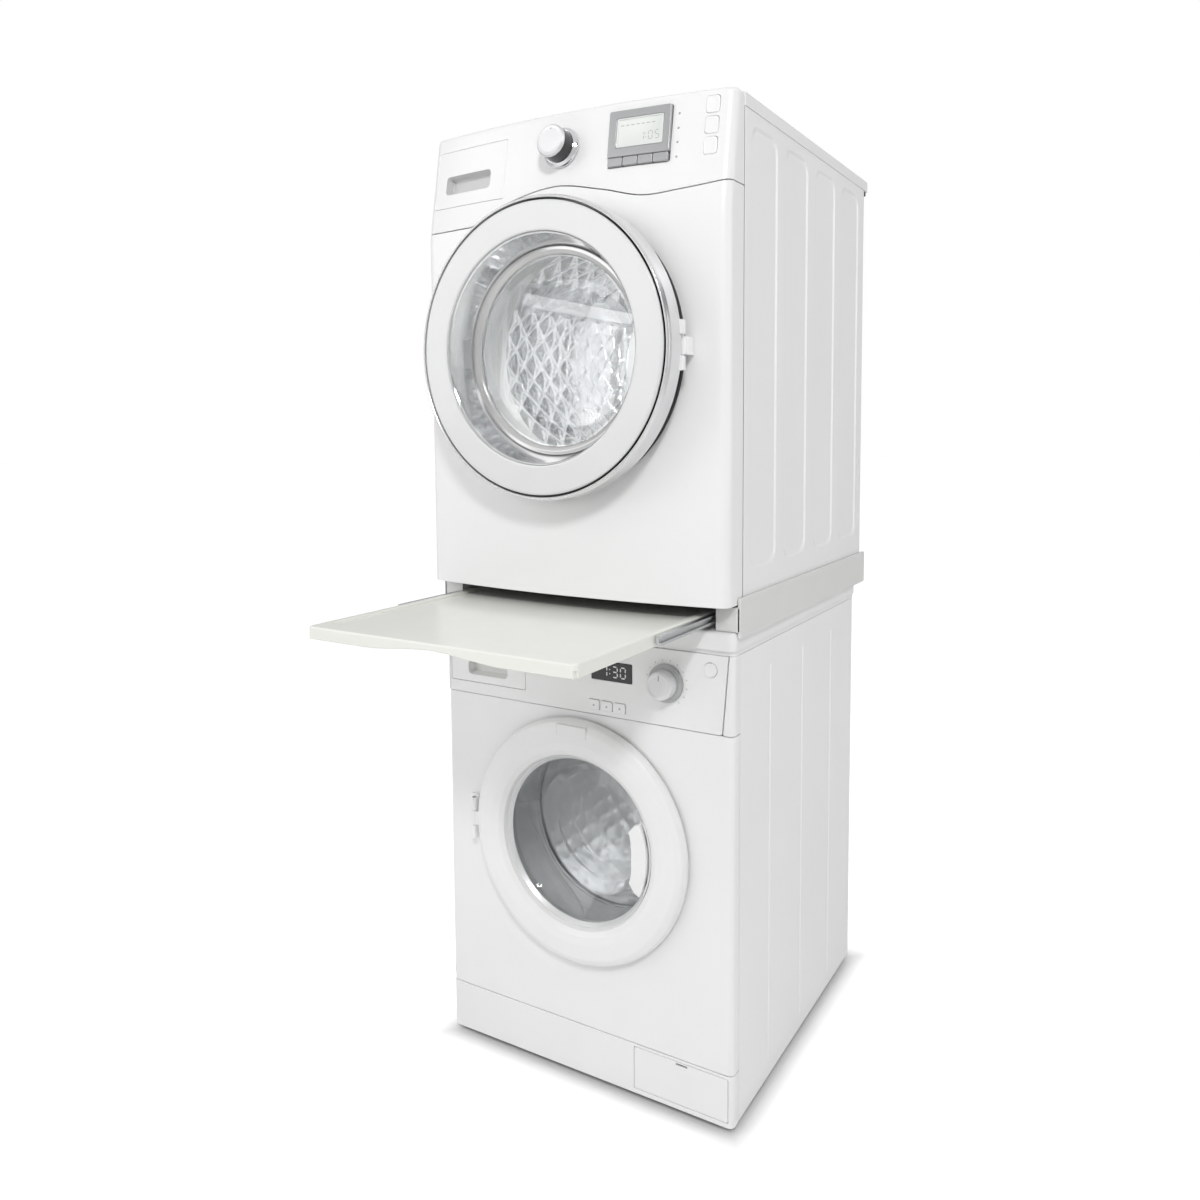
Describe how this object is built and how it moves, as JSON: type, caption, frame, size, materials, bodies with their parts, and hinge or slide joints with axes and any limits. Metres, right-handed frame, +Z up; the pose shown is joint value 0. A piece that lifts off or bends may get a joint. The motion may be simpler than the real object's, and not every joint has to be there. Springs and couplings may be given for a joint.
{
  "type": "washer dryer stack",
  "caption": "Front-loading washer with a condenser dryer on top, joined by a stacking frame with a pull-out shelf; doors, drums, drawers, knobs and buttons move.",
  "frame": {"origin": "on the floor, below the middle of the box round the whole stack with the shelf pulled out", "axes": "+Z up, the doors face -Y, +X is to the right seen from the front"},
  "size_m": [0.612, 1.01, 1.681],
  "materials": {
    "white_enamel": "gloss",
    "white_plastic": "gloss",
    "cream_plastic": "satin",
    "pale_grey_paint": "satin",
    "silver_plastic": "satin metallic",
    "grey_plastic": "fine grain",
    "black_plastic": "gloss",
    "bright_chrome": "polished",
    "stainless": "brushed",
    "dark_steel": "satin",
    "clear_glass": "clear",
    "grey_rubber": "matte",
    "black_rubber": "matte",
    "concrete": "rough"
  },
  "bodies": {
    "stack": {"washer_cabinet": "white_enamel", "washer_base": "white_plastic", "washer_foot_1": "black_rubber", "washer_foot_2": "black_rubber", "washer_foot_3": "black_rubber", "washer_foot_4": "black_rubber", "washer_front_panel": "white_enamel", "washer_worktop": "white_plastic", "washer_control_panel": "white_plastic", "washer_display": "black_plastic", "washer_door_hinge": "white_enamel", "washer_gasket": "grey_rubber", "washer_tub": "grey_plastic", "washer_stator": "dark_steel", "washer_counterweight": "concrete", "washer_damper_left": "dark_steel", "washer_damper_right": "dark_steel", "dryer_cabinet": "white_enamel", "dryer_base": "stainless", "dryer_worktop": "white_plastic", "dryer_front_panel": "white_enamel", "dryer_control_panel": "white_plastic", "dryer_display": "silver_plastic", "dryer_door_hinge": "dark_steel", "dryer_drum_seal": "grey_rubber", "dryer_motor": "dark_steel", "dryer_belt": "black_rubber", "kit_left_rail": "pale_grey_paint", "kit_right_rail": "pale_grey_paint", "kit_rear_bar": "pale_grey_paint"},
    "washer_door": {"washer_door_ring": "white_plastic", "washer_door_glass": "clear_glass"},
    "washer_handle": {"washer_door_handle": "white_plastic"},
    "washer_drum": {"washer_drum": "stainless", "washer_rotor": "dark_steel"},
    "washer_knob": {"washer_knob": "silver_plastic"},
    "washer_button_1": {"washer_button_1": "silver_plastic"},
    "washer_button_2": {"washer_button_2": "silver_plastic"},
    "washer_button_3": {"washer_button_3": "silver_plastic"},
    "washer_start_button": {"washer_start_button": "white_plastic"},
    "detergent_drawer": {"washer_detergent_drawer": "white_plastic"},
    "filter_flap": {"washer_filter_flap": "white_plastic"},
    "filter_cap": {"washer_filter_cap": "grey_plastic"},
    "dryer_door": {"dryer_door_ring": "silver_plastic", "dryer_door_trim": "bright_chrome", "dryer_door_glass": "clear_glass"},
    "dryer_drum": {"dryer_drum": "stainless"},
    "motor_pulley": {"dryer_motor_pulley": "dark_steel"},
    "dryer_knob": {"dryer_knob": "bright_chrome"},
    "soft_button_1": {"dryer_soft_button_1": "silver_plastic"},
    "soft_button_2": {"dryer_soft_button_2": "silver_plastic"},
    "soft_button_3": {"dryer_soft_button_3": "silver_plastic"},
    "soft_button_4": {"dryer_soft_button_4": "silver_plastic"},
    "option_button_1": {"dryer_option_button_1": "white_plastic"},
    "option_button_2": {"dryer_option_button_2": "white_plastic"},
    "option_button_3": {"dryer_option_button_3": "white_plastic"},
    "water_drawer": {"dryer_water_drawer": "white_plastic"},
    "shelf": {"kit_shelf": "cream_plastic"},
    "slide_left": {"kit_slide_left": "stainless"},
    "slide_right": {"kit_slide_right": "stainless"}
  },
  "joints": [
    {"name": "washer_door_hinge", "type": "hinge", "parent": "stack", "child": "washer_door", "pos_m": [-0.226, -0.161, 0.443], "axis": [0, 0, -1], "range_deg": [0, 150]},
    {"name": "washer_handle_pivot", "type": "hinge", "parent": "washer_door", "child": "washer_handle", "pos_m": [0.138, -0.1545, 0.443], "axis": [0, 0, 1], "range_deg": [0, 12], "stiffness_Nm_per_rad": 1},
    {"name": "washer_drum_spin", "type": "hinge", "parent": "stack", "child": "washer_drum", "pos_m": [0, 0.1, 0.443], "axis": [0, 1, 0], "continuous": true},
    {"name": "washer_knob_turn", "type": "hinge", "parent": "stack", "child": "washer_knob", "pos_m": [0.176, -0.148, 0.746], "axis": [0, -1, 0], "continuous": true},
    {"name": "washer_button_1_press", "type": "slide", "parent": "stack", "child": "washer_button_1", "axis": [0, 1, 0], "range_m": [0, 0.0018], "stiffness_N_per_m": 600},
    {"name": "washer_button_2_press", "type": "slide", "parent": "stack", "child": "washer_button_2", "axis": [0, 1, 0], "range_m": [0, 0.0018], "stiffness_N_per_m": 600},
    {"name": "washer_button_3_press", "type": "slide", "parent": "stack", "child": "washer_button_3", "axis": [0, 1, 0], "range_m": [0, 0.0018], "stiffness_N_per_m": 600},
    {"name": "washer_start_press", "type": "slide", "parent": "stack", "child": "washer_start_button", "axis": [0, 1, 0], "range_m": [0, 0.0018], "stiffness_N_per_m": 600},
    {"name": "detergent_drawer_slide", "type": "slide", "parent": "stack", "child": "detergent_drawer", "axis": [0, -1, 0], "range_m": [0, 0.22]},
    {"name": "filter_flap_hinge", "type": "hinge", "parent": "stack", "child": "filter_flap", "pos_m": [0.1985, -0.144, 0.025], "axis": [1, 0, 0], "range_deg": [0, 90]},
    {"name": "filter_cap_turn", "type": "hinge", "parent": "stack", "child": "filter_cap", "pos_m": [0.2, -0.12, 0.06], "axis": [0, -1, 0], "range_deg": [0, 90]},
    {"name": "dryer_door_hinge", "type": "hinge", "parent": "stack", "child": "dryer_door", "pos_m": [0.238, -0.207, 1.288], "axis": [0, 0, 1], "range_deg": [0, 110]},
    {"name": "dryer_drum_spin", "type": "hinge", "parent": "stack", "child": "dryer_drum", "pos_m": [0, 0.15, 1.288], "axis": [0, 1, 0], "continuous": true},
    {"name": "motor_pulley_spin", "type": "hinge", "parent": "stack", "child": "motor_pulley", "pos_m": [0.19, 0.155, 0.946], "axis": [0, 1, 0], "continuous": true},
    {"name": "dryer_knob_turn", "type": "hinge", "parent": "stack", "child": "dryer_knob", "pos_m": [0, -0.18031, 1.618], "axis": [0, -0.9877, 0.1564], "continuous": true},
    {"name": "soft_button_1_press", "type": "slide", "parent": "stack", "child": "soft_button_1", "axis": [-0.0762, 0.9848, -0.156], "range_m": [0, 0.0015], "stiffness_N_per_m": 600},
    {"name": "soft_button_2_press", "type": "slide", "parent": "stack", "child": "soft_button_2", "axis": [-0.0762, 0.9848, -0.156], "range_m": [0, 0.0015], "stiffness_N_per_m": 600},
    {"name": "soft_button_3_press", "type": "slide", "parent": "stack", "child": "soft_button_3", "axis": [-0.0762, 0.9848, -0.156], "range_m": [0, 0.0015], "stiffness_N_per_m": 600},
    {"name": "soft_button_4_press", "type": "slide", "parent": "stack", "child": "soft_button_4", "axis": [-0.0762, 0.9848, -0.156], "range_m": [0, 0.0015], "stiffness_N_per_m": 600},
    {"name": "option_button_1_press", "type": "slide", "parent": "stack", "child": "option_button_1", "axis": [-0.1378, 0.9783, -0.1549], "range_m": [0, 0.0018], "stiffness_N_per_m": 600},
    {"name": "option_button_2_press", "type": "slide", "parent": "stack", "child": "option_button_2", "axis": [-0.1378, 0.9783, -0.1549], "range_m": [0, 0.0018], "stiffness_N_per_m": 600},
    {"name": "option_button_3_press", "type": "slide", "parent": "stack", "child": "option_button_3", "axis": [-0.1378, 0.9783, -0.1549], "range_m": [0, 0.0018], "stiffness_N_per_m": 600},
    {"name": "water_drawer_slide", "type": "slide", "parent": "stack", "child": "water_drawer", "axis": [0, -1, 0], "range_m": [0, 0.38]},
    {"name": "shelf_slide", "type": "slide", "parent": "stack", "child": "shelf", "axis": [0, -1, 0], "range_m": [-0.365, 0]},
    {"name": "slide_left_travel", "type": "slide", "parent": "stack", "child": "slide_left", "axis": [0, -1, 0], "range_m": [-0.1825, 0]},
    {"name": "slide_right_travel", "type": "slide", "parent": "stack", "child": "slide_right", "axis": [0, -1, 0], "range_m": [-0.1825, 0]}
  ],
  "couplings": [
    {"joint": "motor_pulley_spin", "follows": "dryer_drum_spin", "ratio": 13.75},
    {"joint": "slide_left_travel", "follows": "shelf_slide", "ratio": 0.5},
    {"joint": "slide_right_travel", "follows": "shelf_slide", "ratio": 0.5}
  ]
}
